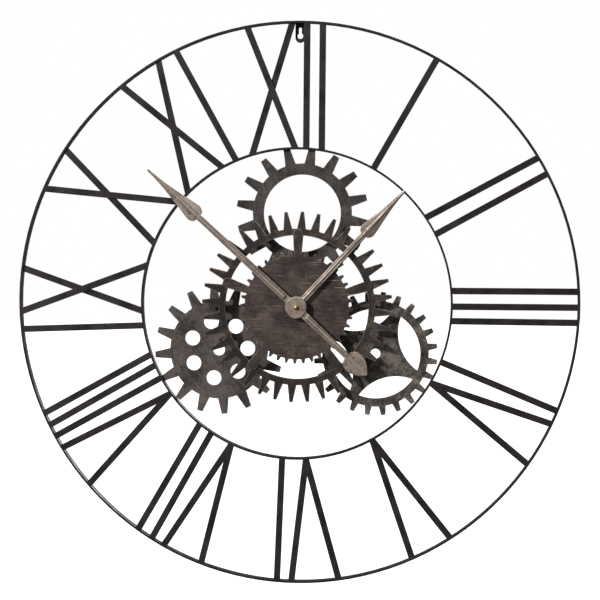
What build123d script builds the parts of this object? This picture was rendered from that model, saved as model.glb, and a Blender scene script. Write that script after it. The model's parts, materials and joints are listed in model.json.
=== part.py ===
from build123d import *
import math
import os

# Skeleton wall clock with welded numerals, decorative cog wheels and a battery movement.
# Everything is drawn in dial coordinates: x right, y up, z out from the wall, the outer
# ring centred on the origin. place() then turns the dial upright and hangs it from its
# keyhole, which is the origin of the finished part (front of the clock towards -Y).

# ---------------------------------------------------------------- driving dimensions
outer_radius = 400.0            # outside of the big ring
inner_radius = 222.5            # outside of the small ring
strip_thickness = 3.0           # both rings are flat strip on edge
strip_depth = 12.0
bar_width = 9.2                 # flat bar of the numerals
bar_thickness = 2.0

hanger_drop = 379.5             # keyhole above the centre of the big ring
hanger_offset = 6.0             # and to the right of it
hanger_width = 14.0
hanger_thickness = 2.0
keyhole_radius = 4.0
keyhole_slot_width = 4.0
keyhole_slot_height = 10.0
keyhole_margin = 9.5            # plate below the keyhole centre

sheet = 2.0                     # all wheels are cut from this sheet
back_wheel_level = 5.0          # back faces above the wall
spiked_level = 26.0
star_level = spiked_level + sheet
hub = (3.0, -3.5)               # axis of the hands and of the two front wheels
top_gear_centre = (9.1, 129.0)
left_gear_centre = (-110.4, -65.6)
right_gear_centre = (113.2, -70.1)
post_radius = 3.0

washer_thickness = 0.8
nut_height = 2.4
case_size = 56.0                # movement case, square
case_corner = 4.0
case_front = star_level - 1.0   # front face, 1 mm rubber gasket before the star wheel
case_depth = 14.0
cover_thickness = 2.0
case_wall = 1.5
case_front_wall = 2.0
bushing_radius = 4.0
bushing_top = case_front + 6.8
tube_radius = 2.5
shaft_radius = 1.5
running_gap = 0.06              # radial clearance of everything that turns
push_gap = 0.05                 # radial clearance of what only slips over the bushing

cover_inside = case_front - case_depth
cover_outside = cover_inside - cover_thickness
cavity_top = case_front - case_front_wall
partition_top = -10.8           # floor of the gear room, roof of the battery bay
partition_bottom = -12.0
gear_room_half = case_size / 2 - case_wall
bay_half_length = 26.3
bay_floor = -27.0

cell_radius = 7.25              # AA cell
cell_length = 50.5
cell_axis_y = (partition_bottom + bay_floor) / 2
cell_axis_z = case_front - 1.0 - 0.15 - cell_radius

bridge_back = 20.6              # plate that carries the front pivots of the train
bridge_front = 21.4
shoulder_back = 14.2            # arbor shoulders, just clear of cover bosses and bridge
shoulder_front = 20.5
pivot_radius = 0.4
pivot_length = 0.7
arbor_radius = 0.5

hand_sheet = 1.2
hour_level = 35.0
minute_level = 39.4
hand_crown = 2.4                # how far the raised shafts stand above the flat sheet
collet_neck = 3.0               # brass necks riveted in the two hands
hour_collet_neck = 3.4
hub_disc_radius = 15.4
hub_disc_rim = 0.8              # upright rim, and the same again for the low dome
cap_nut_radius = 3.1
hour_angle = 47.1               # hands at rest, counter-clockwise from 3 o'clock
minute_angle = 137.3
tail_angle = 179.2              # tail measured from the minute blade

# strokes of each numeral: (end at the big ring, end at the small ring), in degrees
# clockwise from the numeral's own hour line
numerals = {
    "numeral_1": [(0.0, -0.1)],
    "numeral_2": [(-1.2, -3.6), (2.5, 3.4)],
    "numeral_3": [(-2.7, -5.0), (0.5, 0.7), (3.6, 6.0)],
    "numeral_4": [(-8.0, -8.5), (-5.1, 0.0), (4.4, 0.0)],
    "numeral_5": [(-3.6, 0.5), (5.3, 0.5)],
    "numeral_6": [(-8.9, -3.8), (0.9, -3.8), (3.9, 5.0)],
    "numeral_7": [(-9.9, -5.3), (-1.3, -5.3), (1.6, 3.2), (5.0, 8.6)],
    "numeral_8": [(-11.1, -5.6), (-1.7, -5.6), (1.1, 1.2), (3.7, 6.3), (6.4, 10.6)],
    "numeral_9": [(-5.4, -8.1), (-1.7, 14.0), (7.3, -2.6)],
    "numeral_10": [(-5.5, 10.8), (3.6, -6.7)],
    "numeral_11": [(-8.7, 1.5), (0.4, -14.0), (4.6, 7.4)],
    "numeral_12": [(-9.9, -0.3), (-0.7, -16.0), (2.4, 3.9), (5.6, 9.6)],
}

# going train and motion work: teeth, module, and where each arbor stands from the last
motion_module = 0.38
motion_distance = motion_module * (12 + 36) / 2
hour_module = 2 * motion_distance / (10 + 40)
centre_module = 0.30
third_module = 0.25
fourth_module = 0.30
fifth_module = 0.22
addendum = 0.85
dedendum = 1.15
tooth_share = 0.36              # of the pitch, at the pitch circle


def polar(centre, radius, degrees):
    turn = math.radians(degrees)
    return (centre[0] + radius * math.cos(turn), centre[1] + radius * math.sin(turn))


def clock_point(centre, radius, degrees):
    return polar(centre, radius, 90.0 - degrees)


def centre_distance(module, teeth, pinion):
    return module * (teeth + pinion) / 2


third_direction, fourth_direction, fifth_direction, rotor_direction = 45.0, 15.0, 95.0, 170.0
minute_direction, knob_direction = 135.0, 150.0
third_axis = polar((0, 0), centre_distance(centre_module, 64, 8), third_direction)
fourth_axis = polar(third_axis, centre_distance(third_module, 60, 8), fourth_direction)
fifth_axis = polar(fourth_axis, centre_distance(fourth_module, 40, 8), fifth_direction)
rotor_axis = polar(fifth_axis, centre_distance(fifth_module, 48, 8), rotor_direction)
minute_axis = polar((0, 0), motion_distance, minute_direction)
knob_axis = polar(minute_axis, centre_distance(motion_module, 36, 18), knob_direction)
train_axes = [third_axis, fourth_axis, fifth_axis, rotor_axis]
corner_posts = [(x, y) for x in (-23.0, 23.0) for y in (-7.0, 23.0)]


# ---------------------------------------------------------------- small helpers
def disc(radius, low, high, centre=(0, 0)):
    """Round plate or pin between two levels."""
    return Pos(centre[0], centre[1], low) * extrude(Circle(radius), high - low)


def tube(outside, inside, low, high, centre=(0, 0)):
    return Pos(centre[0], centre[1], low) * extrude(Circle(outside) - Circle(inside), high - low)


def block(x_low, x_high, y_low, y_high, low, high):
    size = (x_high - x_low, y_high - y_low)
    middle = ((x_low + x_high) / 2, (y_low + y_high) / 2)
    return Pos(middle[0], middle[1], low) * extrude(Rectangle(*size), high - low)


def plate(points, low, high):
    return Pos(0, 0, low) * extrude(make_face(Polyline(*points, close=True)), high - low)


def at_hub(shape):
    return Pos(hub[0], hub[1], 0) * shape


def toothed_outline(teeth, root, tip, base_width, tip_width, phase):
    """Outline of a wheel whose straight-sided teeth have these widths in millimetres."""
    points = []
    for index in range(teeth):
        middle = phase + index * 360.0 / teeth
        base = math.degrees(base_width / 2 / root)
        top = math.degrees(tip_width / 2 / tip)
        points.append(polar((0, 0), root, middle - base))
        points.append(polar((0, 0), tip, middle - top))
        points.append(polar((0, 0), tip, middle + top))
        points.append(polar((0, 0), root, middle + base))
        points.append(polar((0, 0), root, middle + 180.0 / teeth))
    return points


def train_wheel(teeth, module, low, high, phase):
    """Small moulded gear with slim teeth, so that meshed pairs keep real backlash."""
    pitch_radius = module * teeth / 2
    width = math.pi * module * tooth_share
    root = pitch_radius - dedendum * module
    tip = pitch_radius + addendum * module
    return plate(toothed_outline(teeth, root, tip, width * 1.3, width * 0.6, phase), low, high)


def mesh_phase(phase, teeth, other_teeth, direction):
    """Phase that puts the other wheel's gap on this wheel's tooth, seen along direction."""
    lag = (direction - phase) % (360.0 / teeth)
    return direction + 180.0 + lag * teeth / other_teeth + 180.0 / other_teeth


def arbor(axis, back=shoulder_back, front=shoulder_front, radius=arbor_radius):
    """Steel arbor with a pivot at each end."""
    body = disc(radius, back, front, axis)
    return body + disc(pivot_radius, back - pivot_length, front + pivot_length, axis)


def moved(shape, axis):
    return Pos(axis[0], axis[1], 0) * shape


# ---------------------------------------------------------------- rings, numerals, hanger
def ring(radius):
    return tube(radius, radius - strip_thickness, 0, strip_depth)


def numeral_band():
    """Room between the two rings that the numeral bars exactly fill from wall to wall."""
    band = disc(outer_radius - strip_thickness, 0, strip_depth)
    return band - disc(inner_radius, -1, strip_depth + 1)


def stroke(hour, outer_end, inner_end, low):
    """One flat bar, drawn over-long and then fitted between the rings."""
    start = Vector(*clock_point((0, 0), inner_radius, hour * 30 + inner_end))
    end = Vector(*clock_point((0, 0), outer_radius - strip_thickness, hour * 30 + outer_end))
    run = end - start
    middle = (start + end) / 2
    bar = Pos(0, 0, low) * extrude(Rectangle(run.length + 4 * bar_width, bar_width), bar_thickness)
    turn = math.degrees(math.atan2(run.Y, run.X))
    return (Pos(middle.X, middle.Y, 0) * Rot(0, 0, turn) * bar) & numeral_band()


def shared_volume(first, second):
    common = first & second
    return 0.0 if common is None else sum(solid.volume for solid in common.solids())


def numeral(hour, strokes):
    """Bars of one numeral. A crossing bar passes behind, a meeting bar is mitred."""
    front = strip_depth - bar_thickness
    bars = []
    for outer_end, inner_end in strokes:
        bar = stroke(hour, outer_end, inner_end, front)
        crossing = [b for b in bars if shared_volume(b, bar) > 1]
        for other in crossing:
            pieces = (bar - other).solids()
            if min(piece.volume for piece in pieces) > bar.volume / 10 and len(pieces) > 1:
                bar = stroke(hour, outer_end, inner_end, front - bar_thickness)
            else:
                bar = max(pieces, key=lambda piece: piece.volume)
        bars.append(bar)
    return bars


def hanger_plate():
    """Keyhole tab welded inside the top of the big ring, flat on the wall."""
    low_end = hanger_drop - keyhole_margin
    half = hanger_width / 2
    left, right = hanger_offset - half, hanger_offset + half
    tab = block(left, right, low_end + half, outer_radius, 0, hanger_thickness)
    tab = tab + disc(half, 0, hanger_thickness, (hanger_offset, low_end + half))
    tab = tab & disc(outer_radius - strip_thickness, 0, hanger_thickness)
    hole = disc(keyhole_radius, -1, hanger_thickness + 1, (hanger_offset, hanger_drop))
    slot_top = hanger_drop + keyhole_slot_height
    slot_half = keyhole_slot_width / 2
    slot_left, slot_right = hanger_offset - slot_half, hanger_offset + slot_half
    slot = block(slot_left, slot_right, hanger_drop, slot_top, -1, hanger_thickness + 1)
    slot = slot + disc(slot_half, -1, hanger_thickness + 1, (hanger_offset, slot_top))
    return tab - hole - slot


# ---------------------------------------------------------------- decorative wheels
def fitted_in_ring(wheel):
    """Teeth that reach the small ring are trimmed to its inside face, where they are welded."""
    return wheel & disc(inner_radius - strip_thickness, 0, strip_depth)


def top_gear():
    low, high = back_wheel_level, back_wheel_level + sheet
    hole_radius = 54.7
    outline = toothed_outline(teeth=16, root=70.6, tip=94.0, base_width=15.2, tip_width=9.2, phase=13.75)
    wheel = plate(outline, low, high) - disc(hole_radius, low - 1, high + 1)
    return fitted_in_ring(moved(wheel, top_gear_centre))


def left_gear():
    low, high = back_wheel_level, back_wheel_level + sheet
    centre_hole, hole_radius, hole_circle, hole_count, first_hole = 8.5, 10.6, 41.3, 7, 2.5
    outline = toothed_outline(teeth=16, root=70.5, tip=92.7, base_width=15.3, tip_width=8.3, phase=4.8)
    wheel = plate(outline, low, high) - disc(centre_hole, low - 1, high + 1)
    for index in range(hole_count):
        middle = polar((0, 0), hole_circle, first_hole + index * 360 / hole_count)
        wheel = wheel - disc(hole_radius, low - 1, high + 1, middle)
    return fitted_in_ring(moved(wheel, left_gear_centre))


def right_gear():
    """Open wheel: four lens-shaped windows leave a cross with a round middle."""
    low, high = back_wheel_level, back_wheel_level + sheet
    centre_hole, window_count, first_window = 7.0, 4, 17.0
    outline = toothed_outline(teeth=24, root=75.6, tip=88.1, base_width=10.0, tip_width=6.5, phase=7.5)
    wheel = plate(outline, low, high) - disc(centre_hole, low - 1, high + 1)
    rim_inside, bridge_half, waist = 63.7, 38.5, 36.5
    corner_x = rim_inside * math.cos(math.radians(bridge_half))
    corner_y = rim_inside * math.sin(math.radians(bridge_half))
    outer_side = ThreePointArc((corner_x, -corner_y), (rim_inside, 0), (corner_x, corner_y))
    inner_side = ThreePointArc((corner_x, corner_y), (waist, 0), (corner_x, -corner_y))
    window = Pos(0, 0, low - 1) * extrude(make_face(outer_side + inner_side), sheet + 2)
    for index in range(window_count):
        wheel = wheel - Rot(0, 0, first_window + index * 360 / window_count) * window
    return fitted_in_ring(moved(wheel, right_gear_centre))


def spiked_ring():
    low, high = spiked_level, spiked_level + sheet
    band_inside = 101.3
    outline = toothed_outline(teeth=36, root=110.7, tip=134.8, base_width=12.5, tip_width=4.5, phase=6.5)
    return at_hub(plate(outline, low, high) - disc(band_inside, low - 1, high + 1))


def star_arm():
    """Arm that widens outwards and ends round on the spiked ring."""
    low, high = star_level, star_level + sheet
    start, end, narrow, wide = 69.0, 103.3, 5.1, 7.4
    blade = plate([(start, -narrow), (end, -wide), (end, wide), (start, narrow)], low, high)
    return blade + disc(wide, low, high, (end, 0))


def star_wheel():
    low, high = star_level, star_level + sheet
    arm_count, first_arm = 5, 16.7
    outline = toothed_outline(teeth=40, root=73.8, tip=79.9, base_width=6.2, tip_width=2.8, phase=7.1)
    wheel = plate(outline, low, high)
    for index in range(arm_count):
        wheel = wheel + Rot(0, 0, first_arm + index * 360 / arm_count) * star_arm()
    return at_hub(wheel - disc(bushing_radius + push_gap, low - 1, high + 1))


def wheel_posts():
    """Spacer posts where the spiked ring's band passes over each back wheel."""
    low, high = back_wheel_level + sheet, spiked_level
    post_circle, post_turns = 106.0, (1.5, 59.5, 115.0, 180.5, 236.5, 296.0)
    return [at_hub(disc(post_radius, low, high, polar((0, 0), post_circle, turn)))
            for turn in post_turns]


# ---------------------------------------------------------------- hands
def crown_section(x, half_width, height, level):
    """Cross-section of a cast hand: a thin upright rim under a low rounded top."""
    rim = 0.7
    across = Plane(origin=(x, 0, level), x_dir=(0, 1, 0), z_dir=(1, 0, 0))
    top = EllipticalCenterArc((0, rim), half_width, height - rim, start_angle=0, arc_size=180)
    left = Line((-half_width, rim), (-half_width, 0))
    base = Line((-half_width, 0), (half_width, 0))
    right = Line((half_width, 0), (half_width, rim))
    return across * make_face(top + left + base + right)


def cast_blade(stations, level):
    """Solid through a row of sections, each given as (distance, half width, height)."""
    sections = [crown_section(x, width, height, level) for x, width, height in stations]
    return loft(sections, ruled=True)


def leaf_stations(neck, widest, tip, bulge, hollow):
    """Stations from a narrow neck round the shoulders and along the taper to the tip."""
    stations = []
    shoulder_steps, taper_steps = 7, 14
    for step in range(shoulder_steps):
        turn = math.pi / 2 * step / shoulder_steps
        x = widest[0] - (widest[0] - neck[0]) * math.cos(turn)
        width = neck[1] + (widest[1] - neck[1]) * math.sin(turn)
        height = neck[2] + (widest[2] - neck[2]) * math.sin(turn)
        stations.append((x, width, height))
    for step in range(taper_steps + 1):
        along = step / taper_steps
        share = (1 - along ** bulge) ** hollow
        x = widest[0] + (tip[0] - widest[0]) * along
        width = tip[1] + (widest[1] - tip[1]) * share
        height = tip[2] + (widest[2] - tip[2]) * (1 - along)
        stations.append((x, width, height))
    return stations


def minute_hand():
    """Flat strap at the hub, raised shafts both ways, a long spade and a leaf-shaped tail."""
    crown = hand_sheet + hand_crown
    level = minute_level
    eye_radius, strap_half = 11.0, 5.2
    eye = disc(eye_radius, level, level + hand_sheet)
    strap = block(-22.0, 22.5, -strap_half, strap_half, level, level + hand_sheet)
    shaft = cast_blade([(21.6, 5.5, crown), (188.0, 4.3, crown - 0.4)], level)
    spade = leaf_stations(neck=(186.6, 4.0, 2.9), widest=(196.6, 12.5, 3.3), tip=(285.2, 1.7, 1.8),
                          bulge=1.2, hollow=1.9)
    tail = cast_blade([(20.3, 5.2, crown), (99.6, 4.6, crown - 0.4)], level)
    leaf = leaf_stations(neck=(98.6, 4.4, 2.9), widest=(111.0, 15.3, 3.4), tip=(137.0, 0.8, 2.2),
                         bulge=2.2, hollow=1.0)
    hand = eye + strap + shaft + cast_blade(spade, level)
    hand = hand + Rot(0, 0, tail_angle) * (tail + cast_blade(leaf, level))
    hand = hand - disc(collet_neck, level - 1, level + 10)
    return at_hub(Rot(0, 0, minute_angle) * hand)


def hour_hand():
    crown = hand_sheet + hand_crown
    level = hour_level
    eye_radius, strap_half = 9.0, 5.0
    eye = disc(eye_radius, level, level + hand_sheet)
    strap = block(0, eye_radius, -strap_half, strap_half, level, level + hand_sheet)
    shaft = cast_blade([(7.0, 5.4, crown), (140.0, 4.6, crown - 0.4)], level)
    spade = leaf_stations(neck=(139.0, 4.4, 2.9), widest=(148.5, 11.1, 3.3), tip=(223.4, 2.0, 1.9),
                          bulge=1.2, hollow=1.9)
    hand = eye + strap + shaft + cast_blade(spade, level)
    hand = hand - disc(hour_collet_neck, level - 1, level + 10)
    return at_hub(Rot(0, 0, hour_angle) * hand)


def hour_collet():
    """Brass collet riveted in the hour hand and pushed on the hour tube."""
    collet = disc(5.0, hour_level - 1.0, hour_level)
    collet = collet + disc(hour_collet_neck, hour_level, hour_level + 1.6)
    return at_hub(collet - disc(tube_radius, hour_level - 2, hour_level + 3))


def minute_collet():
    collet = disc(4.4, minute_level - 0.9, minute_level)
    collet = collet + disc(collet_neck, minute_level, minute_level + hand_sheet)
    return at_hub(collet - disc(shaft_radius, minute_level - 2, minute_level + 3))


def hub_disc():
    """Slightly domed cover disc that hides the collets."""
    low = minute_level + hand_sheet
    rim = disc(hub_disc_radius, low, low + hub_disc_rim)
    dome = Pos(0, 0, low + hub_disc_rim) * extrude(Circle(hub_disc_radius), hub_disc_rim, taper=55)
    return at_hub(rim + dome - disc(shaft_radius + 0.1, low - 1, low + 3))


def cap_nut():
    low = minute_level + hand_sheet + 2 * hub_disc_rim
    skirt = 1.2
    nut = disc(cap_nut_radius, low, low + skirt)
    crown = Pos(0, 0, low + skirt) * (Sphere(cap_nut_radius) & Pos(0, 0, 2.0) * Box(8, 8, 4))
    return at_hub(nut + crown - disc(shaft_radius, low - 1, low + 1.8))


# ---------------------------------------------------------------- mounting hardware
def gasket():
    return at_hub(tube(14.0, bushing_radius + push_gap, case_front, star_level))


def washer():
    low = star_level + sheet
    return at_hub(tube(8.0, bushing_radius + 2 * push_gap, low, low + washer_thickness))


def hex_nut():
    low = star_level + sheet + washer_thickness
    body = Pos(0, 0, low) * extrude(RegularPolygon(7.0, 6) - Circle(bushing_radius), nut_height)
    return at_hub(body)


# ---------------------------------------------------------------- movement case
def front_case():
    """Tray with the threaded bushing, a gear room and the battery bay below it."""
    half = case_size / 2
    outline = RectangleRounded(case_size, case_size, case_corner)
    shell = Pos(0, 0, cover_outside) * extrude(outline, case_front - cover_outside)
    shell = shell - block(-half - 1, half + 1, partition_bottom, half + 1, cover_outside - 1, cover_inside)
    room = gear_room_half
    shell = shell - block(-room, room, partition_top, room, cover_inside - 1, cavity_top)
    shell = shell - block(-bay_half_length, bay_half_length, bay_floor, partition_bottom,
                          cover_outside - 1, case_front - 1)
    for post in corner_posts:
        shell = shell + disc(2.0, bridge_front, cavity_top + 0.5, post)
    shell = shell + disc(bushing_radius, case_front - 0.5, bushing_top)
    return at_hub(shell - disc(tube_radius + running_gap, cavity_top - 1, bushing_top + 1))


def back_cover():
    """Cover of the gear room, with bearing bosses for the train and the knob hole."""
    half = case_size / 2
    outline = RectangleRounded(case_size, case_size, case_corner)
    cover = Pos(0, 0, cover_outside) * extrude(outline, cover_thickness)
    cover = cover - block(-half - 1, half + 1, -half - 1, partition_bottom,
                          cover_outside - 1, cover_inside + 1)
    for axis in train_axes:
        cover = cover + disc(1.3, cover_inside - 0.5, shoulder_back - 0.1, axis)
        cover = cover - disc(pivot_radius + 0.03, shoulder_back - 1.0, shoulder_back, axis)
    cover = cover + disc(2.4, cover_inside - 0.5, shoulder_back - 0.1)
    cover = cover - disc(0.83, shoulder_back - 1.0, shoulder_back)
    for post in corner_posts:
        cover = cover + disc(1.8, cover_inside - 0.5, bridge_back, post)
    cover = cover - disc(shaft_radius + running_gap, cover_outside - 1, cover_inside + 1, knob_axis)
    return at_hub(cover)


def train_bridge():
    bridge = block(-25.5, 25.5, -9.8, 25.5, bridge_back, bridge_front)
    bridge = bridge - disc(shaft_radius + running_gap, bridge_back - 1, bridge_front + 1)
    bridge = bridge - disc(shaft_radius + running_gap, bridge_back - 1, bridge_front + 1, knob_axis)
    for axis in train_axes:
        bridge = bridge - disc(pivot_radius + 0.03, bridge_back - 1, bridge_front + 1, axis)
    stud = disc(0.6, bridge_front - 0.2, cavity_top - 0.1, minute_axis)
    return at_hub(bridge + stud)


def circuit_board():
    return at_hub(block(-20.5, -4.5, -9.8, 6.0, 14.0, 14.8))


def circuit_chip():
    """Drop of black resin over the bare chip."""
    drop = Pos(-13.0, -2.0, 14.8) * extrude(Circle(3.0), 1.0, taper=30)
    return at_hub(drop)


def quartz_crystal():
    can = Pos(-10.5, 3.5, 15.9) * Rot(0, 90, 0) * extrude(Circle(1.0), 3, both=True)
    return at_hub(can)


coil_left, coil_right, coil_y, coil_z = -17.0, 1.0, 21.4, 15.9


def coil_bobbin():
    length = coil_right - coil_left
    middle = (coil_left + coil_right) / 2
    core = block(coil_left, coil_right, coil_y - 1.6, coil_y + 1.6, coil_z - 1.2, coil_z + 1.2)
    ends = [Pos(middle + side * (length / 2 - 0.5), coil_y, coil_z) * Box(1.0, 7.4, 5.2)
            for side in (-1, 1)]
    window = block(coil_left - 1, coil_right + 1, coil_y - 1.0, coil_y + 1.0, 15.4, 16.4)
    return at_hub(core + ends[0] + ends[1] - window)


def coil_winding():
    middle = (coil_left + coil_right) / 2
    length = coil_right - coil_left - 2.0
    outside = Pos(middle, coil_y, coil_z) * Rot(0, 90, 0) * extrude(
        RectangleRounded(4.8, 6.8, 1.6), length / 2, both=True)
    inside = block(coil_left, coil_right, coil_y - 1.6, coil_y + 1.6, coil_z - 1.2, coil_z + 1.2)
    return at_hub(outside - inside)


def coil_core():
    """Soft-iron strip through the bobbin, lapping on the stator at both ends."""
    strip = block(coil_left - 3.5, coil_right + 3.5, coil_y - 1.0, coil_y + 1.0, 15.4, 16.4)
    return at_hub(strip)


def stator_plate():
    """Two pole pieces around the rotor, joined to the coil core at its ends."""
    left_end, right_end = coil_left - 3.5, 14.0
    arm = block(left_end, right_end, 14.6, 17.6, 14.4, 15.4)
    left_leg = block(left_end, coil_left - 0.6, 14.6, coil_y + 1.0, 14.4, 15.4)
    right_leg = block(coil_right + 0.6, coil_right + 3.5, 14.6, coil_y + 1.0, 14.4, 15.4)
    poles = disc(4.4, 14.4, 15.4, rotor_axis)
    return at_hub(arm + left_leg + right_leg + poles - disc(3.4, 14.0, 16.0, rotor_axis))


def battery_contact(side):
    """Sheet-metal contact at one end of the bay, bowed towards the cell."""
    face = bay_half_length
    low_y, high_y = cell_axis_y - 3.0, cell_axis_y + 3.0
    low_z, high_z = cell_axis_z - 5.0, cell_axis_z + 5.0
    strip = block(face - 0.4, face, low_y, high_y, low_z, high_z)
    bow = Pos(face - 0.7, cell_axis_y, cell_axis_z) * Box(0.6, 4.0, 4.0)
    contact = strip + bow
    return at_hub(contact if side > 0 else mirror(contact, about=Plane.YZ))


def battery_cell():
    body = Rot(0, 90, 0) * extrude(Circle(cell_radius), (cell_length - 1.0) / 2, both=True)
    nub = Pos(cell_length / 2 - 0.75, 0, 0) * Rot(0, 90, 0) * extrude(Circle(2.75), 0.75, both=True)
    return at_hub(Pos(-0.5, cell_axis_y, cell_axis_z) * (body + nub))


# ---------------------------------------------------------------- gears and arbors
cannon_phase = minute_direction
minute_phase = mesh_phase(cannon_phase, 12, 36, minute_direction)
knob_phase = mesh_phase(minute_phase, 36, 18, knob_direction)
hour_phase = 0.0
minute_pinion_phase = mesh_phase(hour_phase, 40, 10, minute_direction)
centre_phase = 0.0
third_pinion_phase = mesh_phase(centre_phase, 64, 8, third_direction)
third_phase = 0.0
fourth_pinion_phase = mesh_phase(third_phase, 60, 8, fourth_direction)
fourth_phase = 0.0
fifth_pinion_phase = mesh_phase(fourth_phase, 40, 8, fifth_direction)
fifth_phase = 0.0
rotor_pinion_phase = mesh_phase(fifth_phase, 48, 8, rotor_direction)


def rotor():
    magnet = disc(3.0, 13.7 + 0.6, 15.9)
    pinion = train_wheel(8, fifth_module, 18.7, 20.1, rotor_pinion_phase)
    return at_hub(moved(magnet + pinion, rotor_axis) + arbor(rotor_axis))


def fifth_wheel():
    wheel = train_wheel(48, fifth_module, 18.9, 19.9, fifth_phase)
    pinion = train_wheel(8, fourth_module, 16.0, 17.4, fifth_pinion_phase)
    return at_hub(moved(wheel + pinion, fifth_axis) + arbor(fifth_axis))


def fourth_wheel():
    wheel = train_wheel(40, fourth_module, 16.2, 17.2, fourth_phase)
    pinion = train_wheel(8, third_module, 17.4, 18.7, fourth_pinion_phase)
    return at_hub(moved(wheel + pinion, fourth_axis) + arbor(fourth_axis))


def third_wheel():
    wheel = train_wheel(60, third_module, 17.6, 18.5, third_phase)
    pinion = train_wheel(8, centre_module, 18.8, 20.2, third_pinion_phase)
    return at_hub(moved(wheel + pinion, third_axis) + arbor(third_axis))


def centre_wheel():
    wheel = train_wheel(64, centre_module, 19.0, 20.0, centre_phase)
    return at_hub(wheel - disc(shaft_radius + running_gap, 18.0, 21.0))


def friction_spring():
    """Spring washer that lets the hands slip on the centre wheel when they are set."""
    return at_hub(tube(2.4, shaft_radius, 20.0, 20.2))


def minute_shaft():
    """Arbor of the minute hand with its cannon pinion, collar and seat."""
    tip = minute_level + hand_sheet + 2 * hub_disc_rim + 1.7
    shaft = disc(shaft_radius, shoulder_back, tip)
    shaft = shaft + disc(0.8, shoulder_back - pivot_length, shoulder_back + 0.5)
    shaft = shaft + disc(2.2, 18.0, 18.9) + disc(2.4, 20.2, 20.5)
    return at_hub(shaft + train_wheel(12, motion_module, 22.0, 23.4, cannon_phase))


def minute_wheel():
    """Reverser between the minute shaft and the hour wheel, running on the bridge stud."""
    wheel = train_wheel(36, motion_module, 22.2, 23.2, minute_phase)
    pinion = train_wheel(10, hour_module, 23.2, 24.8, minute_pinion_phase)
    return at_hub(moved(wheel + pinion - disc(0.6 + running_gap, 21.0, 26.0), minute_axis))


def hour_wheel():
    """Hour wheel with the long tube that carries the hour hand."""
    wheel = train_wheel(40, hour_module, 23.6, 24.6, hour_phase)
    wheel = wheel + disc(tube_radius, 23.6, hour_level + 2.4)
    return at_hub(wheel - disc(shaft_radius + running_gap, 23.0, hour_level + 3))


def setting_knob():
    """Knob behind the cover, with the shaft and pinion that turn the minute wheel."""
    knob = plate(toothed_outline(24, 5.6, 6.2, 0.9, 0.5, 0), cover_outside - 3.5, cover_outside - 0.5)
    shaft = disc(shaft_radius, cover_outside - 1.0, 22.5)
    pinion = train_wheel(18, motion_module, 22.0, 23.4, knob_phase)
    return at_hub(moved(knob + shaft + pinion, knob_axis))


# ---------------------------------------------------------------- assembly
def place(shape):
    """Dial coordinates to the finished frame: front to -Y, keyhole centre at the origin."""
    return Pos(-hanger_offset, 0, -hanger_drop) * Rot(90, 0, 0) * shape


def save(name, shape):
    solids = shape if isinstance(shape, list) else [shape]
    pieces = [place(solid) for group in solids for solid in group.solids()]
    node = pieces[0] if len(pieces) == 1 else Compound(children=pieces)
    node.label = name
    export_step(node, f"parts/{name}.step")
    print(f"{name}: {len(pieces)} solid(s), {sum(piece.volume for piece in pieces) / 1000:.2f} cm3")


os.makedirs("parts", exist_ok=True)
save("outer_ring", ring(outer_radius))
save("inner_ring", ring(inner_radius))
for node_name, node_strokes in numerals.items():
    save(node_name, numeral(int(node_name.split("_")[1]), node_strokes))
for build in (hanger_plate, top_gear, left_gear, right_gear, spiked_ring, star_wheel, wheel_posts,
              minute_hand, hour_hand, hour_collet, minute_collet, hub_disc, cap_nut,
              gasket, washer, hex_nut, front_case, back_cover, train_bridge,
              circuit_board, circuit_chip, quartz_crystal, coil_bobbin, coil_winding, coil_core,
              stator_plate, battery_cell, rotor, fifth_wheel, fourth_wheel, third_wheel,
              centre_wheel, friction_spring, minute_shaft, minute_wheel, hour_wheel, setting_knob):
    save(build.__name__, build())
save("contact_plus", battery_contact(1))
save("contact_minus", battery_contact(-1))
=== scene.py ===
import json
import math

import bpy
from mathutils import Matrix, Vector, noise


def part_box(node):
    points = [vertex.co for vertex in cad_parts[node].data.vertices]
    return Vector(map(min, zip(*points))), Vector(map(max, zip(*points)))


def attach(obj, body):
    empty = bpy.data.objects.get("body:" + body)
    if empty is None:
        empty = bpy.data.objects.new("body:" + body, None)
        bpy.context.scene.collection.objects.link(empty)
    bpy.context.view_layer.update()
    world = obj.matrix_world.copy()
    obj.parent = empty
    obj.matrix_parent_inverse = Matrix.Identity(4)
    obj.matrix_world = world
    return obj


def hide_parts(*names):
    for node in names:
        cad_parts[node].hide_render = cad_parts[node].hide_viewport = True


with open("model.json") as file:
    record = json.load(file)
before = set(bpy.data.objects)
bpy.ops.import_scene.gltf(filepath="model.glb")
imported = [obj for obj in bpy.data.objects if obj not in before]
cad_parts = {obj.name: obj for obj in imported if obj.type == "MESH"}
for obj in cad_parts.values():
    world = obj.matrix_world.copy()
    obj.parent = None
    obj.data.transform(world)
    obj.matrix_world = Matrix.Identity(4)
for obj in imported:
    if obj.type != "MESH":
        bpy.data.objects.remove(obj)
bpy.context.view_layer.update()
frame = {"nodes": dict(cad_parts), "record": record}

cadNodes = frame["nodes"]
mm = 0.001
print("frame loaded:", len(cadNodes), "nodes")


# places that everything is worked out from
ringLow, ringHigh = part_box("outer_ring")
dialCentre = (ringLow + ringHigh) / 2
smallLow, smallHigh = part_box("inner_ring")
capLow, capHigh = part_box("cap_nut")
hubCentre = (capLow + capHigh) / 2
frontLevel = ringLow.y
stripThick = 3 * mm
mergeWithin = 0.002 * mm
handTurns = {"minute_hand": 137.3, "hour_hand": 47.1}


# camera
cameraSettings = {"lens": 92.7, "distance": 2.1934, "azimuth": 4.8, "elevation": 2.5,
                  "aimRight": 6.28 * mm, "aimAbove": 5.94 * mm}


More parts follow.
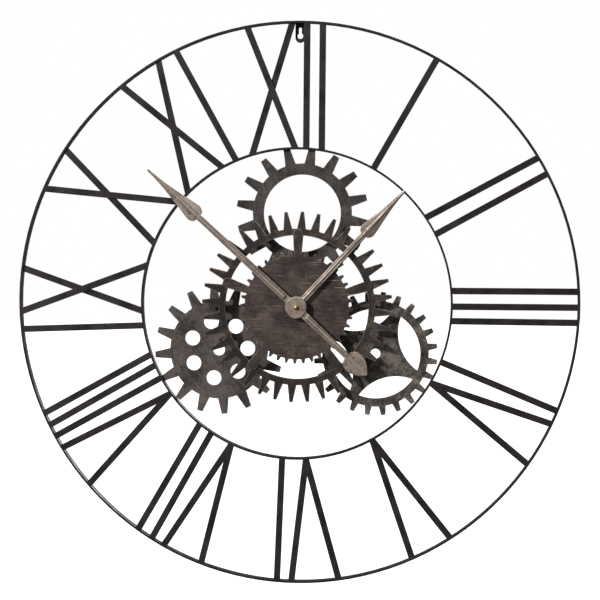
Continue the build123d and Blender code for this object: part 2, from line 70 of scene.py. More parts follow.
def makeCamera():
    camera = bpy.data.objects.new("camera", bpy.data.cameras.new("camera"))
    bpy.context.scene.collection.objects.link(camera)
    turn, tilt = math.radians(cameraSettings["azimuth"]), math.radians(cameraSettings["elevation"])
    back = Vector((math.sin(turn) * math.cos(tilt), -math.cos(turn) * math.cos(tilt), math.sin(tilt)))
    aim = Vector((dialCentre.x + cameraSettings["aimRight"], frontLevel,
                  dialCentre.z + cameraSettings["aimAbove"]))
    camera.location = aim + back * cameraSettings["distance"]
    camera.rotation_mode = "QUATERNION"
    camera.rotation_quaternion = (-back).to_track_quat("-Z", "Y")
    camera.data.lens = cameraSettings["lens"]
    camera.data.sensor_width = 36.0
    camera.data.clip_start, camera.data.clip_end = 0.05, 100.0
    bpy.context.scene.camera = camera


makeCamera()
print("camera set")


# small helpers for shader nodes
def newMaterial(name):
    material = bpy.data.materials.new(name)
    material.use_nodes = True
    return material, material.node_tree, material.node_tree.nodes["Principled BSDF"]


# kind is the node's type, links what goes into its inputs, settings its own options, values what its
# inputs are set to
def addNode(tree, kind, links=None, settings=None, **values):
    node = tree.nodes.new("ShaderNode" + kind)
    for name, value in (settings or {}).items():
        setattr(node, name, value)
    for name, value in values.items():
        node.inputs[name.replace("_", " ")].default_value = value
    for name, socket in (links or {}).items():
        tree.links.new(socket, node.inputs[name])
    return node


# object coordinates, stretched and turned
def place(tree, stretch=(1, 1, 1), turn=(0, 0, 0)):
    where = addNode(tree, "TexCoord").outputs["Object"]
    node = addNode(tree, "Mapping", {"Vector": where}, {"vector_type": "TEXTURE"},
                   Scale=tuple(1 / share for share in stretch), Rotation=turn)
    return node.outputs["Vector"]


def grain(tree, scale, detail=3.0, stretch=(1, 1, 1), turn=(0, 0, 0), roughness=0.55):
    noiseNode = addNode(tree, "TexNoise", {"Vector": place(tree, stretch, turn)},
                        Scale=scale, Detail=detail, Roughness=roughness)
    return noiseNode.outputs["Fac"]


def rangeOf(tree, value, low, high, toLow=0.0, toHigh=1.0):
    node = addNode(tree, "MapRange", {"Value": value},
                   From_Min=low, From_Max=high, To_Min=toLow, To_Max=toHigh)
    return node.outputs["Result"]


def ramp(tree, value, stops):
    node = addNode(tree, "ValToRGB", {"Fac": value})
    elements = node.color_ramp.elements
    elements[0].position, elements[0].color = stops[0][0], (*stops[0][1], 1)
    elements[1].position, elements[1].color = stops[-1][0], (*stops[-1][1], 1)
    for position, colour in stops[1:-1]:
        elements.new(position).color = (*colour, 1)
    return node.outputs["Color"]


def maths(tree, operation, first, second):
    node = addNode(tree, "Math", settings={"operation": operation, "use_clamp": True})
    for index, value in enumerate((first, second)):
        if isinstance(value, (int, float)):
            node.inputs[index].default_value = value
        else:
            tree.links.new(value, node.inputs[index])
    return node.outputs["Value"]


def mixColour(tree, share, first, second):
    node = addNode(tree, "Mix", settings={"data_type": "RGBA"})
    tree.links.new(share, node.inputs["Factor"])
    for socket, value in ((node.inputs[6], first), (node.inputs[7], second)):
        if isinstance(value, tuple):
            socket.default_value = (*value, 1)
        else:
            tree.links.new(value, socket)
    return node.outputs[2]


# share 0 on a flat face, rising to 1 at an edge; masks worn edges and painted edge highlights
def edgeWearAndHighlight(tree, radius, low=0.02, high=0.3):
    soft = addNode(tree, "Bevel", settings={"samples": 6}, Radius=radius).outputs["Normal"]
    true = addNode(tree, "NewGeometry").outputs["Normal"]
    same = addNode(tree, "VectorMath", {0: soft, 1: true}, settings={"operation": "DOT_PRODUCT"})
    return rangeOf(tree, same.outputs["Value"], 1.0 - low, 1.0 - high)


def bump(tree, shader, height, distance, strength=1.0, previous=None):
    node = addNode(tree, "Bump", {"Height": height}, Distance=distance, Strength=strength)
    if previous is not None:
        tree.links.new(previous, node.inputs["Normal"])
    tree.links.new(node.outputs["Normal"], shader.inputs["Normal"])
    return node.outputs["Normal"]


# finishes
strapBlack = {"dark": (0.010, 0.0075, 0.007), "light": (0.026, 0.020, 0.019), "worn": (0.10, 0.088, 0.084),
              "roughness": (0.36, 0.55), "metallic": 0.2, "sheen": 0.35}


# satin black-brown lacquer on rolled strip and flat bar
def makeStrapBlack():
    material, tree, shader = newMaterial("strap_black")
    cloud = grain(tree, 45, 4)
    fine = grain(tree, 900, 2)
    colour = ramp(tree, cloud, [(0.3, strapBlack["dark"]), (0.72, strapBlack["light"])])
    patchy = rangeOf(tree, grain(tree, 140), 0.45, 0.7, 0.15, 0.9)
    wear = maths(tree, "MULTIPLY", edgeWearAndHighlight(tree, 0.5 * mm), patchy)
    tree.links.new(mixColour(tree, wear, colour, strapBlack["worn"]), shader.inputs["Base Color"])
    tree.links.new(rangeOf(tree, cloud, 0.3, 0.7, *strapBlack["roughness"]), shader.inputs["Roughness"])
    shader.inputs["Metallic"].default_value = strapBlack["metallic"]
    shader.inputs["Specular IOR Level"].default_value = strapBlack["sheen"]
    bump(tree, shader, fine, 0.05 * mm, 0.6)
    return material


# the rubbed tan and the light line colour at the edges are partly painted edge highlights
wheelBronze = {"rubbedTanAndHighlight": (0.27, 0.20, 0.14), "line": (0.26, 0.215, 0.185), "roughness": (0.32, 0.60),
               "metallic": 0.4, "dabSize": 0.013, "speckleSize": 0.0030, "toneStops": (0.42, 0.5, 0.585),
               "armsFrom": 78 * mm, "armsFull": 84 * mm, "edgeWidth": 3.4 * mm, "lineWidth": 2.4 * mm}
# per wheel: its three tones, how much its edges are rubbed and painted with highlight, how spotted it is
# with rubbed dabs, how plain its worn edge line with painted highlight is, share of fine strokes, which way
# it is brushed, and towards which side painted shade darkens it (across, up, how strong)
wheelLooks = {
    "star_wheel": {"tones": ((0.018, 0.011, 0.0095), (0.064, 0.042, 0.037), (0.130, 0.100, 0.085)),
                   "rubAndHighlight": 1.0, "dabs": 0.30, "line": 0.8, "strokes": 1.0, "brush": 0.0,
                   "paintedShade": (-0.1, -1.0, 0.10)},
    "spiked_ring": {"tones": ((0.010, 0.0072, 0.0062), (0.038, 0.027, 0.0235), (0.100, 0.078, 0.066)),
                    "rubAndHighlight": 1.0, "dabs": 0.22, "line": 1.0, "strokes": 0.0, "brush": 0.5,
                    "paintedShade": (-1.0, -0.3, 0.8)},
    "top_gear": {"tones": ((0.013, 0.0105, 0.0098), (0.050, 0.042, 0.039), (0.115, 0.100, 0.092)),
                 "rubAndHighlight": 0.4, "dabs": 0.20, "line": 0.5, "strokes": 0.3, "brush": 1.5,
                 "paintedShade": (0.6, -0.8, 0.15)},
    "left_gear": {"tones": ((0.026, 0.020, 0.0185), (0.094, 0.076, 0.069), (0.170, 0.145, 0.132)),
                  "rubAndHighlight": 0.35, "dabs": 0.15, "line": 0.5, "strokes": 0.0, "brush": 0.9,
                  "paintedShade": (1.0, 0.5, 0.25)},
    "right_gear": {"tones": ((0.013, 0.0095, 0.008), (0.088, 0.075, 0.066), (0.230, 0.200, 0.176)),
                   "rubAndHighlight": 1.0, "dabs": 0.75, "line": 0.7, "strokes": 0.25, "brush": 2.2,
                   "paintedShade": (-1.0, 0.3, 0.30)},
}


# where a spot lies from a point
def offsetFrom(tree, point):
    shifted = addNode(tree, "VectorMath", {0: addNode(tree, "TexCoord").outputs["Object"]},
                      settings={"operation": "SUBTRACT"})
    shifted.inputs[1].default_value = point
    return shifted.outputs["Vector"]


# painted shade: share 0 to 1 across a piece, rising towards the side that is painted darker as if in shade
def paintedSideShade(tree, node, across, up):
    low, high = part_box(node)
    middle, half = (low + high) / 2, (high.x - low.x) / 2
    along = addNode(tree, "VectorMath", {0: offsetFrom(tree, middle)}, settings={"operation": "DOT_PRODUCT"})
    along.inputs[1].default_value = (across, 0, up)
    return rangeOf(tree, along.outputs["Value"], -half * 0.8, half * 0.8)


# distance of a spot from the hub's axis
def hubReach(tree):
    flat = addNode(tree, "VectorMath", {0: offsetFrom(tree, hubCentre)}, settings={"operation": "MULTIPLY"})
    flat.inputs[1].default_value = (1, 0, 1)
    reach = addNode(tree, "VectorMath", {0: flat.outputs["Vector"]}, settings={"operation": "LENGTH"})
    return reach.outputs["Value"]


# dark bronze wash over sheet steel, brushed in strokes and rubbed back to a golden tan at the edges, with
# painted highlights along the edges and painted shade towards one side
def makeWheelBronze(node):
    look = wheelLooks[node]
    material, tree, shader = newMaterial(node + "_bronze")
    turn = (0, look["brush"], 0)
    patches = grain(tree, 30, 6, roughness=0.68)
    speckle = grain(tree, 1 / wheelBronze["speckleSize"], 3, roughness=0.75)
    brushed = grain(tree, 60, 3, (1, 1, 14), turn)
    mixed = maths(tree, "ADD", maths(tree, "MULTIPLY", patches, 0.5), maths(tree, "MULTIPLY", speckle, 0.3))
    mixed = maths(tree, "ADD", mixed, maths(tree, "MULTIPLY", brushed, 0.2))
    stops = wheelBronze["toneStops"]
    colour = ramp(tree, mixed, list(zip(stops, look["tones"])))
    if node == "star_wheel":  # its arms take the tones of the ring that they lie on
        armColour = ramp(tree, mixed, list(zip(stops, wheelLooks["spiked_ring"]["tones"])))
        onArms = rangeOf(tree, hubReach(tree), wheelBronze["armsFrom"], wheelBronze["armsFull"])
        colour = mixColour(tree, onArms, colour, armColour)
    # painted shade: one side of the wheel darkened towards its darkest tone
    across, up, strength = look["paintedShade"]
    paintedShadeShare = maths(tree, "MULTIPLY", paintedSideShade(tree, node, across, up), strength)
    colour = mixColour(tree, paintedShadeShare, colour, look["tones"][0])
    # edges rubbed to golden tan, partly painted edge highlights, broken up in spots
    spots = rangeOf(tree, grain(tree, 24, 4, roughness=0.6), 0.50, 0.62)
    edges = maths(tree, "MULTIPLY", edgeWearAndHighlight(tree, wheelBronze["edgeWidth"], 0.006, 0.14), spots)
    edges = maths(tree, "MULTIPLY", edges, rangeOf(tree, speckle, 0.40, 0.58, 0.1, look["rubAndHighlight"]))
    dabNoise = grain(tree, 1 / wheelBronze["dabSize"], 6, roughness=0.74)
    dabMix = maths(tree, "ADD", maths(tree, "MULTIPLY", dabNoise, 0.6), maths(tree, "MULTIPLY", patches, 0.4))
    dabs = rangeOf(tree, dabMix, 0.53, 0.62, 0.0, look["dabs"])
    colour = mixColour(tree, maths(tree, "ADD", edges, dabs), colour, wheelBronze["rubbedTanAndHighlight"])
    # thin light worn line along the edges, partly a painted edge highlight
    broken = rangeOf(tree, patches, 0.42, 0.56, 0.15, look["line"])
    thinEdgeWearAndHighlight = maths(tree, "MULTIPLY", edgeWearAndHighlight(tree, wheelBronze["lineWidth"], 0.012, 0.13), broken)
    colour = mixColour(tree, thinEdgeWearAndHighlight, colour, wheelBronze["line"])
    if look["strokes"]:
        lines = grain(tree, 26, 2, (1, 1, 30), turn, 0.5)
        cluster = rangeOf(tree, grain(tree, 17, 2), 0.46, 0.58, 0.0, look["strokes"])
        thin = maths(tree, "MULTIPLY", rangeOf(tree, lines, 0.64, 0.70), cluster)
        colour = mixColour(tree, thin, colour, wheelBronze["line"])
    tree.links.new(colour, shader.inputs["Base Color"])
    glossy, rough = wheelBronze["roughness"]
    tree.links.new(rangeOf(tree, mixed, 0.42, 0.58, rough, glossy), shader.inputs["Roughness"])
    shader.inputs["Metallic"].default_value = wheelBronze["metallic"]
    low = bump(tree, shader, speckle, 0.16 * mm, 0.7)
    bump(tree, shader, brushed, 0.12 * mm, 0.5, low)
    return material


handPewter = {"dark": (0.060, 0.047, 0.038), "mid": (0.33, 0.265, 0.215), "light": (0.50, 0.425, 0.36),
              "roughness": (0.38, 0.62), "metallic": 0.6, "ringPitch": 1.2 * mm}


# cast antique pewter: speckled with dark patina, rubbed bright where it stands up
def makeHandPewter(name, turn=0.0, rings=False, paintedDarkening=0.0):
    material, tree, shader = newMaterial(name)
    speckle = grain(tree, 520, 4, roughness=0.7)
    patches = grain(tree, 90, 3)
    mixed = maths(tree, "ADD", maths(tree, "MULTIPLY", speckle, 0.6), maths(tree, "MULTIPLY", patches, 0.4))
    if not rings:
        drawn = grain(tree, 330, 3, (0.06, 1, 1), (0, -math.radians(turn), 0), 0.6)
        mixed = maths(tree, "ADD", maths(tree, "MULTIPLY", mixed, 0.55), maths(tree, "MULTIPLY", drawn, 0.45))
    colour = ramp(tree, mixed, [(0.38, handPewter["dark"]), (0.5, handPewter["mid"]),
                                (0.68, handPewter["light"])])
    if rings:
        wave = addNode(tree, "Math", {0: hubReach(tree)}, settings={"operation": "MULTIPLY"})
        wave.inputs[1].default_value = 2 * math.pi / handPewter["ringPitch"]
        lines = addNode(tree, "Math", {0: wave.outputs[0]}, settings={"operation": "SINE"}).outputs[0]
        colour = mixColour(tree, rangeOf(tree, lines, 0.2, 1.0, 0.0, 0.35), colour, handPewter["dark"])
    else:
        height = addNode(tree, "NewGeometry").outputs["Pointiness"]
        colour = mixColour(tree, rangeOf(tree, height, 0.50, 0.455), colour, handPewter["dark"])
        colour = mixColour(tree, rangeOf(tree, height, 0.512, 0.57, 0.0, 0.75), colour, handPewter["light"])
    # painted shade: darker clouds over this copy of the pewter
    if paintedDarkening:
        cloud = rangeOf(tree, grain(tree, 60, 4), 0.35, 0.65, paintedDarkening * 0.5, paintedDarkening)
        colour = mixColour(tree, cloud, colour, handPewter["dark"])
    tree.links.new(colour, shader.inputs["Base Color"])
    glossy, rough = handPewter["roughness"]
    tree.links.new(rangeOf(tree, mixed, 0.35, 0.65, rough, glossy), shader.inputs["Roughness"])
    shader.inputs["Metallic"].default_value = handPewter["metallic"]
    bump(tree, shader, speckle, 0.1 * mm, 0.7)
    return material


# per finish: two colours, metallic, roughness range and how many grains to the metre
plainFinishes = {
    "brass": ((0.42, 0.27, 0.10), (0.62, 0.43, 0.19), 1.0, (0.22, 0.38), 300),
    "plated_steel": ((0.36, 0.36, 0.37), (0.58, 0.58, 0.58), 1.0, (0.25, 0.42), 350),
    "black_plastic": ((0.010, 0.010, 0.011), (0.019, 0.019, 0.020), 0.0, (0.42, 0.6), 1400),
    "white_plastic": ((0.62, 0.61, 0.58), (0.72, 0.71, 0.68), 0.0, (0.35, 0.5), 700),
    "board": ((0.018, 0.085, 0.035), (0.030, 0.13, 0.055), 0.0, (0.3, 0.45), 500),
    "copper_wire": ((0.40, 0.13, 0.05), (0.66, 0.26, 0.12), 1.0, (0.25, 0.4), 900),
    "gasket_rubber": ((0.012, 0.012, 0.012), (0.022, 0.022, 0.022), 0.0, (0.7, 0.85), 800),
    "cell_sleeve": ((0.012, 0.013, 0.016), (0.022, 0.023, 0.028), 0.0, (0.18, 0.28), 200),
    "cell_band": ((0.42, 0.20, 0.06), (0.52, 0.27, 0.09), 0.6, (0.2, 0.3), 200),
    "weld_metal": ((0.014, 0.011, 0.010), (0.042, 0.034, 0.032), 0.5, (0.4, 0.6), 500),
}


def makePlainFinish(name):
    dark, light, metallic, roughness, grains = plainFinishes[name]
    material, tree, shader = newMaterial(name)
    cloud = grain(tree, grains / 6, 3)
    fine = grain(tree, grains, 3)
    mixed = maths(tree, "ADD", maths(tree, "MULTIPLY", cloud, 0.6), maths(tree, "MULTIPLY", fine, 0.4))
    tree.links.new(ramp(tree, mixed, [(0.38, dark), (0.62, light)]), shader.inputs["Base Color"])
    tree.links.new(rangeOf(tree, mixed, 0.35, 0.65, *roughness), shader.inputs["Roughness"])
    shader.inputs["Metallic"].default_value = metallic
    bump(tree, shader, fine, 0.03 * mm, 0.5)
    return material


finishes = {name: makePlainFinish(name) for name in plainFinishes}
finishes["frame_steel"] = makeStrapBlack()
for wheel in wheelLooks:
    finishes[wheel] = makeWheelBronze(wheel)
finishes["wheel_steel"] = finishes["spiked_ring"]
finishes["hand_metal"] = makeHandPewter("minute_pewter", handTurns["minute_hand"])
# the hour hand's copy of the pewter is darkened with painted shade
finishes["hour_metal"] = makeHandPewter("hour_pewter", handTurns["hour_hand"], paintedDarkening=0.4)
finishes["hub_metal"] = makeHandPewter("hub_pewter", rings=True)
print("finishes made:", len(finishes))


# CAD pieces: finish and softened edges, sizes in mm, angles in degrees
ownFinish = {"hub_disc": "hub_metal", "hour_hand": "hour_metal", **{wheel: wheel for wheel in wheelLooks}}
edgeSizes = {"outer_ring": 0.35, "inner_ring": 0.35, "hanger_plate": 0.3, "top_gear": 0.35, "left_gear": 0.35,
             "right_gear": 0.35, "spiked_ring": 0.35, "star_wheel": 0.35, "hub_disc": 0.2, "cap_nut": 0.12,
             "front_case": 0.3, "back_cover": 0.3, "setting_knob": 0.12, "numeral": 0.3}
edgeLook = {"rounds": 2, "sharpFrom": 35, "flatWithin": 1.0}


def slotOf(node):
    return next(part["material_slot"] for part in frame["record"]["subparts"] if part["node"] == node)


# joins the flat faces, then rounds the sharp edges; the mesh itself stays as it is
def softenEdges(piece, size):
    weld = piece.modifiers.new("weld", "WELD")
    weld.merge_threshold = mergeWithin
    flat = piece.modifiers.new("flat faces", "DECIMATE")
    flat.decimate_type = "DISSOLVE"
    flat.angle_limit = math.radians(edgeLook["flatWithin"])
    bevel = piece.modifiers.new("edges", "BEVEL")
    bevel.width = size * mm
    bevel.segments = edgeLook["rounds"]
    bevel.limit_method = "ANGLE"
    bevel.angle_limit = math.radians(edgeLook["sharpFrom"])
    bevel.harden_normals = True


for nodeName, piece in cadNodes.items():
    piece.data.materials.clear()
    piece.data.materials.append(finishes[ownFinish.get(nodeName, slotOf(nodeName))])
    size = edgeSizes.get("numeral" if nodeName.startswith("numeral") else nodeName)
    if size:
        softenEdges(piece, size)
print("CAD pieces finished")


# cast hands: how finely they are cast, how they are hammered, and the shape of their raised parts
castHands = {"voxel": 0.5 * mm, "dent": 0.14 * mm, "dentSize": 4.5 * mm, "grit": 0.05 * mm,
             "gritSize": 1.2 * mm, "sink": 0.05 * mm, "rim": 0.7 * mm, "groove": 0.34, "grooveAt": 0.46,
             "grooveWidth": 0.13, "leafRim": 0.42, "leafInside": 0.82, "flank": 0.58, "keel": 0.42,
             "step": 1.5 * mm}
# stretches of each hand, in mm from the hub, with the shape of their top
handParts = {"minute_hand": [(22, 187, "grooved"), (187, 286, "keeled"),
                             (-98, -21, "grooved"), (-138, -98, "rimmed")],
             "hour_hand": [(8, 139, "grooved"), (139, 224, "keeled")]}


# height of the raised top, 0 to 1, at this share of the half width
def topShape(kind, share):
    share = min(1.0, abs(share))
    rounded = math.sqrt(max(0.0, 1 - share * share))
    if kind == "keeled":
        return max(castHands["flank"] * rounded, 1 - (share / castHands["keel"]) ** 2)
    if kind == "grooved":
        dip = math.exp(-((share - castHands["grooveAt"]) / castHands["grooveWidth"]) ** 2)
        return rounded * (1 - castHands["groove"] * dip)
    return min(rounded, 1 - castHands["leafRim"] * max(0.0, 1 - (share / castHands["leafInside"]) ** 6))


# raises and hollows the top of each stretch of a hand, keeping its outline
def shapeTops(shape, node):
    turn = math.radians(handTurns[node])
    along = Vector((math.cos(turn), 0, math.sin(turn)))
    aside = Vector((-math.sin(turn), 0, math.cos(turn)))
    back = max(vertex.co.y for vertex in shape.vertices)
    hub = Vector((hubCentre.x, 0, hubCentre.z))
    rim = castHands["rim"]
    places, widths, heights = [], {}, {}
    for vertex in shape.vertices:
        spot = vertex.co - hub
        where, off, up = spot.dot(along), spot.dot(aside), back - vertex.co.y
        slot = round(where / castHands["step"])
        places.append((where, off, up, slot))
        widths[slot] = max(widths.get(slot, 0.0), abs(off))
        heights[slot] = max(heights.get(slot, 0.0), up)
    for vertex, (where, off, up, slot) in zip(shape.vertices, places):
        for low, high, kind in handParts[node]:
            if low * mm <= where < high * mm and up > rim * 0.9:
                crown = heights[slot] - rim
                vertex.co.y = back - rim - crown * topShape(kind, off / max(widths[slot], mm))


# puts the modified shape in place of the piece's mesh
def applied(piece):
    shape = bpy.data.meshes.new_from_object(piece.evaluated_get(bpy.context.evaluated_depsgraph_get()))
    piece.modifiers.clear()
    piece.data = shape
    return shape


# a hammered casting over the CAD hand: same outline, worked surface
def castCopy(node, name, body, finish):
    source = cadNodes[node]
    piece = bpy.data.objects.new(name, source.data.copy())
    bpy.context.scene.collection.objects.link(piece)
    weld = piece.modifiers.new("weld", "WELD")
    weld.merge_threshold = mergeWithin
    remesh = piece.modifiers.new("remesh", "REMESH")
    remesh.mode = "VOXEL"
    remesh.voxel_size = castHands["voxel"]
    shapeTops(applied(piece), node)
    smooth = piece.modifiers.new("smooth", "SMOOTH")
    smooth.factor, smooth.iterations = 0.5, 3
    shape = applied(piece)
    moves = []
    for vertex in shape.vertices:
        facing = max(0.0, -vertex.normal.y)
        dent = noise.noise(vertex.co / castHands["dentSize"]) * castHands["dent"]
        grit = noise.noise(vertex.co / castHands["gritSize"]) * castHands["grit"]
        moves.append(vertex.normal * (dent + grit - castHands["sink"]) * facing)
    for vertex, move in zip(shape.vertices, moves):
        vertex.co += move
    for polygon in shape.polygons:
        polygon.use_smooth = True
    shape.materials.clear()
    shape.materials.append(finishes[finish])
    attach(piece, body)
    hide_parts(node)


castCopy("minute_hand", "minute_hand_casting", "minute_group", "hand_metal")
castCopy("hour_hand", "hour_hand_casting", "hour_group", "hour_metal")
print("hands cast")


# weld beads: thickness, ripples and lumps, how far their line stands off the wall and the end of a joint
# (inset, and nudge for posts and arms), and how close a corner has to be to a wall to touch it
weldLook = {"thick": 1.15 * mm, "postThick": 0.9 * mm, "ripple": 1.5 * mm, "rippleDepth": 0.18, "rough": 0.22,
            "lumpSize": 1.1 * mm, "taper": 0.35, "inset": 0.4 * mm, "nudge": 0.3 * mm, "postGap": 0.2 * mm,
            "step": 0.35 * mm, "sides": 10, "touch": 0.4 * mm}


def dialSpot(centre, radius, turn, level):
    return Vector((centre.x + radius * math.cos(turn), level, centre.z + radius * math.sin(turn)))


# rippled tube along a line, closed at both ends, as vertices and faces
def bead(line, thick, seed):
    corners, faces, sides = [], [], weldLook["sides"]
    lengths = [0.0]
    for first, second in zip(line, line[1:]):
        lengths.append(lengths[-1] + (second - first).length)
    for index, spot in enumerate(line):
        before, after = line[max(0, index - 1)], line[min(len(line) - 1, index + 1)]
        ahead = (after - before).normalized()
        out = ahead.cross(Vector((0, 1, 0))).normalized()
        other = out.cross(ahead)
        gone = lengths[index]
        ends = min(1.0, weldLook["taper"] + min(gone, lengths[-1] - gone) / thick)
        swell = abs(math.sin(math.pi * (gone / weldLook["ripple"] + seed)))
        wave = 1 - weldLook["rippleDepth"] + weldLook["rippleDepth"] * swell
        for side in range(sides):
            turn = 2 * math.pi * side / sides
            away = out * math.cos(turn) + other * math.sin(turn)
            where = (spot + away * thick) / weldLook["lumpSize"] + Vector((seed, 0, 0))
            lump = noise.noise(where) * weldLook["rough"]
            corners.append(spot + away * thick * ends * (wave + lump))
    for index in range(len(line) - 1):
        for side in range(sides):
            low, high = index * sides, (index + 1) * sides
            after = (side + 1) % sides
            faces.append((low + side, low + after, high + after, high + side))
    faces.append(tuple(reversed(range(sides))))
    faces.append(tuple(range(len(corners) - sides, len(corners))))
    return corners, faces


# points along an arc about a centre, at one level
def arcLine(centre, radius, start, end, level):
    steps = max(3, round(abs(end - start) * radius / weldLook["step"]))
    turns = [start + (end - start) * step / steps for step in range(steps + 1)]
    return [dialSpot(centre, radius, turn, level) for turn in turns]


# one piece of all the beads along these lines
def makeWelds(name, lines, thick):
    corners, faces = [], []
    for seed, line in enumerate(lines):
        newCorners, newFaces = bead(line, thick, seed * 0.37)
        faces += [tuple(len(corners) + index for index in face) for face in newFaces]
        corners += newCorners
    mesh = bpy.data.meshes.new(name)
    mesh.from_pydata([tuple(corner) for corner in corners], [], faces)
    for polygon in mesh.polygons:
        polygon.use_smooth = len(polygon.vertices) == 4
    mesh.materials.append(finishes["weld_metal"])
    piece = bpy.data.objects.new(name, mesh)
    bpy.context.scene.collection.objects.link(piece)
    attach(piece, "frame")


# where a node's corners lie on a circle about the dial: a list of (start, end, front, back) stretches
def touching(node, centre, radius, gap):
    spots = []
    for vertex in cadNodes[node].data.vertices:
        across, up = vertex.co.x - centre.x, vertex.co.z - centre.z
        if abs(math.hypot(across, up) - radius) < weldLook["touch"]:
            spots.append((math.atan2(up, across) % (2 * math.pi), vertex.co.y))
    spots.sort()
    groups = []
    for turn, level in spots:
        if groups and (turn - groups[-1][-1][0]) * radius < gap:
            groups[-1].append((turn, level))
        else:
            groups.append([(turn, level)])
    if len(groups) > 1 and (groups[0][0][0] + 2 * math.pi - groups[-1][-1][0]) * radius < gap:
        groups[0] = [(turn - 2 * math.pi, level) for turn, level in groups.pop()] + groups[0]
    stretches = []
    for group in groups:
        levels = [level for turn, level in group]
        stretches.append((group[0][0], group[-1][0], min(levels), max(levels)))
    return stretches


# a line for a bead wherever one of the nodes meets the wall of this radius
def jointLines(nodes, radius, inwards, gap=6 * mm, atBack=True):
    lines = []
    for node in nodes:
        for start, end, front, back in touching(node, dialCentre, radius, gap):
            level = back + weldLook["inset"] if atBack else front - weldLook["inset"]
            reach = radius - inwards * weldLook["inset"]
            lines.append(arcLine(dialCentre, reach, start, end, level))
    return lines


# a round of bead about each post, at the wheel behind and at the ring in front
def postLines():
    low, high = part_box("wheel_posts")
    lines, centres = [], []
    for vertex in cadNodes["wheel_posts"].data.vertices:
        spot = Vector((vertex.co.x, 0, vertex.co.z))
        near = next((group for group in centres if (group[0] - spot).length < 8 * mm), None)
        if near is None:
            centres.append([spot])
        else:
            near.append(spot)
    for group in centres:
        across, up = [spot.x for spot in group], [spot.z for spot in group]
        middle = Vector(((min(across) + max(across)) / 2, 0, (min(up) + max(up)) / 2))
        reach = (max(across) - min(across)) / 2 + weldLook["postGap"]
        for level in (high.y - weldLook["nudge"], low.y + weldLook["nudge"]):
            lines.append(arcLine(middle, reach, 0, 2 * math.pi, level))
    return lines


# beads behind the star's arms, on the inner wall of the spiked ring
def armLines():
    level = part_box("star_wheel")[1].y
    ringSpots = [(vertex.co.x - hubCentre.x, vertex.co.z - hubCentre.z)
                 for vertex in cadNodes["spiked_ring"].data.vertices]
    wall = min(math.hypot(across, up) for across, up in ringSpots)
    lines, turns = [], []
    for vertex in cadNodes["star_wheel"].data.vertices:
        across, up = vertex.co.x - hubCentre.x, vertex.co.z - hubCentre.z
        if math.hypot(across, up) > wall + 2 * mm:
            turns.append(math.atan2(up, across) % (2 * math.pi))
    turns.sort()
    groups = []
    for turn in turns:
        if groups and turn - groups[-1][-1] < 0.3:
            groups[-1].append(turn)
        else:
            groups.append([turn])
    for group in groups:
        start, end, nudge = group[0], group[-1], weldLook["nudge"]
        lines.append(arcLine(hubCentre, wall - nudge, start, end, level + nudge))
    return lines


outerWall = (ringHigh.x - ringLow.x) / 2 - stripThick
smallOutside = (smallHigh.x - smallLow.x) / 2
numeralNodes = [node for node in cadNodes if node.startswith("numeral")]
numeralLines = jointLines(numeralNodes, outerWall, 1) + jointLines(numeralNodes, smallOutside, -1)
makeWelds("numeral_welds", numeralLines, weldLook["thick"])
makeWelds("wheel_welds", jointLines(("top_gear", "left_gear", "right_gear"), smallOutside - stripThick, 1),
          weldLook["thick"])
makeWelds("hanger_weld", jointLines(("hanger_plate",), outerWall, 1, 16 * mm, False), weldLook["thick"])
makeWelds("post_welds", postLines(), weldLook["postThick"])
makeWelds("arm_welds", armLines(), weldLook["thick"])
print("welds laid")


# the cell: sleeve with a coloured band at the plus end, steel ends, as (share of length, share of radius)
cellShape = {
    "minus": [(0.0, 0.0), (0.0, 0.74), (0.004, 0.80), (0.010, 0.80), (0.010, 0.88), (0.002, 0.93),
              (0.001, 0.965), (0.007, 0.995)],
    "sleeve": [(0.007, 0.995), (0.02, 1.0), (0.70, 1.0)],
    "band": [(0.70, 1.0), (0.955, 1.0), (0.968, 0.985), (0.971, 0.93), (0.965, 0.88)],
    "plus": [(0.965, 0.88), (0.967, 0.80), (0.965, 0.45), (0.967, 0.40), (0.996, 0.375), (1.0, 0.33),
             (1.0, 0.0)],
    "turns": 72,
}
cellFinishes = {"minus": "plated_steel", "sleeve": "cell_sleeve", "band": "cell_band", "plus": "plated_steel"}


def makeCell():
    low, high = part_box("battery_cell")
    middle, radius, length = (low + high) / 2, (high.z - low.z) / 2, high.x - low.x
    mesh = bpy.data.meshes.new("cell")
    corners, faces, kinds, rings, turns = [], [], [], [], cellShape["turns"]
    for kind, name in enumerate(cellFinishes):
        mesh.materials.append(finishes[cellFinishes[name]])
        for spot in cellShape[name] if not rings else cellShape[name][1:]:
            rings.append((spot, kind))
    for (along, out), _ in rings:
        if out == 0:  # the middle of an end
            corners.append((low.x + along * length, middle.y, middle.z))
            continue
        for index in range(turns):
            turn = 2 * math.pi * index / turns
            corners.append((low.x + along * length, middle.y + out * radius * math.cos(turn),
                            middle.z + out * radius * math.sin(turn)))
    count = len(rings)
    starts = [0] + [1 + index * turns for index in range(count - 1)]
    for index in range(count - 1):
        kind = rings[index + 1][1]
        for step in range(turns):
            after = (step + 1) % turns
            if index == 0:
                face = (0, 1 + step, 1 + after)
            elif index == count - 2:
                face = (starts[index] + step, starts[-1], starts[index] + after)
            else:
                here, there = starts[index], starts[index + 1]
                face = (here + step, there + step, there + after, here + after)
            faces.append(face)
            kinds.append(kind)
    mesh.from_pydata(corners, [], faces)
    for polygon, kind in zip(mesh.polygons, kinds):
        polygon.material_index = kind
        polygon.use_smooth = True
    piece = bpy.data.objects.new("battery_cell_wrapped", mesh)
    bpy.context.scene.collection.objects.link(piece)
    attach(piece, "battery_body")
    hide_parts("battery_cell")


makeCell()
print("cell wrapped")


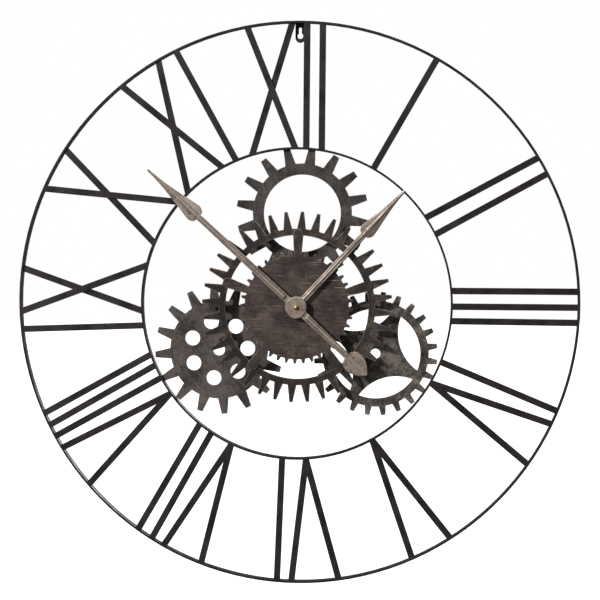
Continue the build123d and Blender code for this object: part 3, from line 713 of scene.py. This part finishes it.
# floor and light
studio = {"floorBelow": 1.9, "floorSize": 40.0, "white": 1.0, "fill": 0.20,
          "key": 3.6, "keyFrom": (-1.0, -1.2, 0.7), "keySoft": 7.0, "top": 2.2,
          "topFrom": (0, 0, 1), "rear": 2.0, "rearFrom": (0.7, 1.0, 0.5), "wideSoft": 20.0,
          "floorTones": ((0.90, 0.90, 0.90), (0.93, 0.93, 0.93))}


def makeFloor():
    material, tree, shader = newMaterial("floor_pale")
    colour = ramp(tree, grain(tree, 2, 3), list(zip((0.3, 0.7), studio["floorTones"])))
    tree.links.new(colour, shader.inputs["Base Color"])
    shader.inputs["Roughness"].default_value = 0.9
    mesh = bpy.data.meshes.new("floor")
    half = studio["floorSize"]
    level = ringLow.z - studio["floorBelow"]
    corners = [(x, y, level) for x, y in ((-half, -half), (half, -half), (half, half), (-half, half))]
    mesh.from_pydata(corners, [], [(0, 1, 2, 3)])
    mesh.materials.append(material)
    floor = bpy.data.objects.new("floor", mesh)
    bpy.context.scene.collection.objects.link(floor)
    floor.visible_diffuse = floor.visible_glossy = False  # the floor doesn't light the clock from below


def makeSun(name, strength, towards, softness):
    sun = bpy.data.objects.new(name, bpy.data.lights.new(name, "SUN"))
    bpy.context.scene.collection.objects.link(sun)
    sun.data.energy = strength
    sun.data.angle = math.radians(softness)
    sun.rotation_mode = "QUATERNION"
    sun.rotation_quaternion = Vector(towards).to_track_quat("Z", "Y")


def makeWorld():
    world = bpy.data.worlds.new("studio")
    bpy.context.scene.world = world
    world.use_nodes = True
    tree = world.node_tree
    background = tree.nodes["Background"]
    seen = addNode(tree, "LightPath").outputs["Is Camera Ray"]
    strength = rangeOf(tree, seen, 0.0, 1.0, studio["fill"], studio["white"])
    tree.links.new(strength, background.inputs["Strength"])
    background.inputs["Color"].default_value = (1, 1, 1, 1)


makeFloor()
makeSun("key", studio["key"], studio["keyFrom"], studio["keySoft"])
makeSun("top", studio["top"], studio["topFrom"], studio["wideSoft"])
makeSun("rear", studio["rear"], studio["rearFrom"], studio["wideSoft"])
makeWorld()
bpy.context.scene.view_settings.view_transform = "Standard"
print("studio lit")
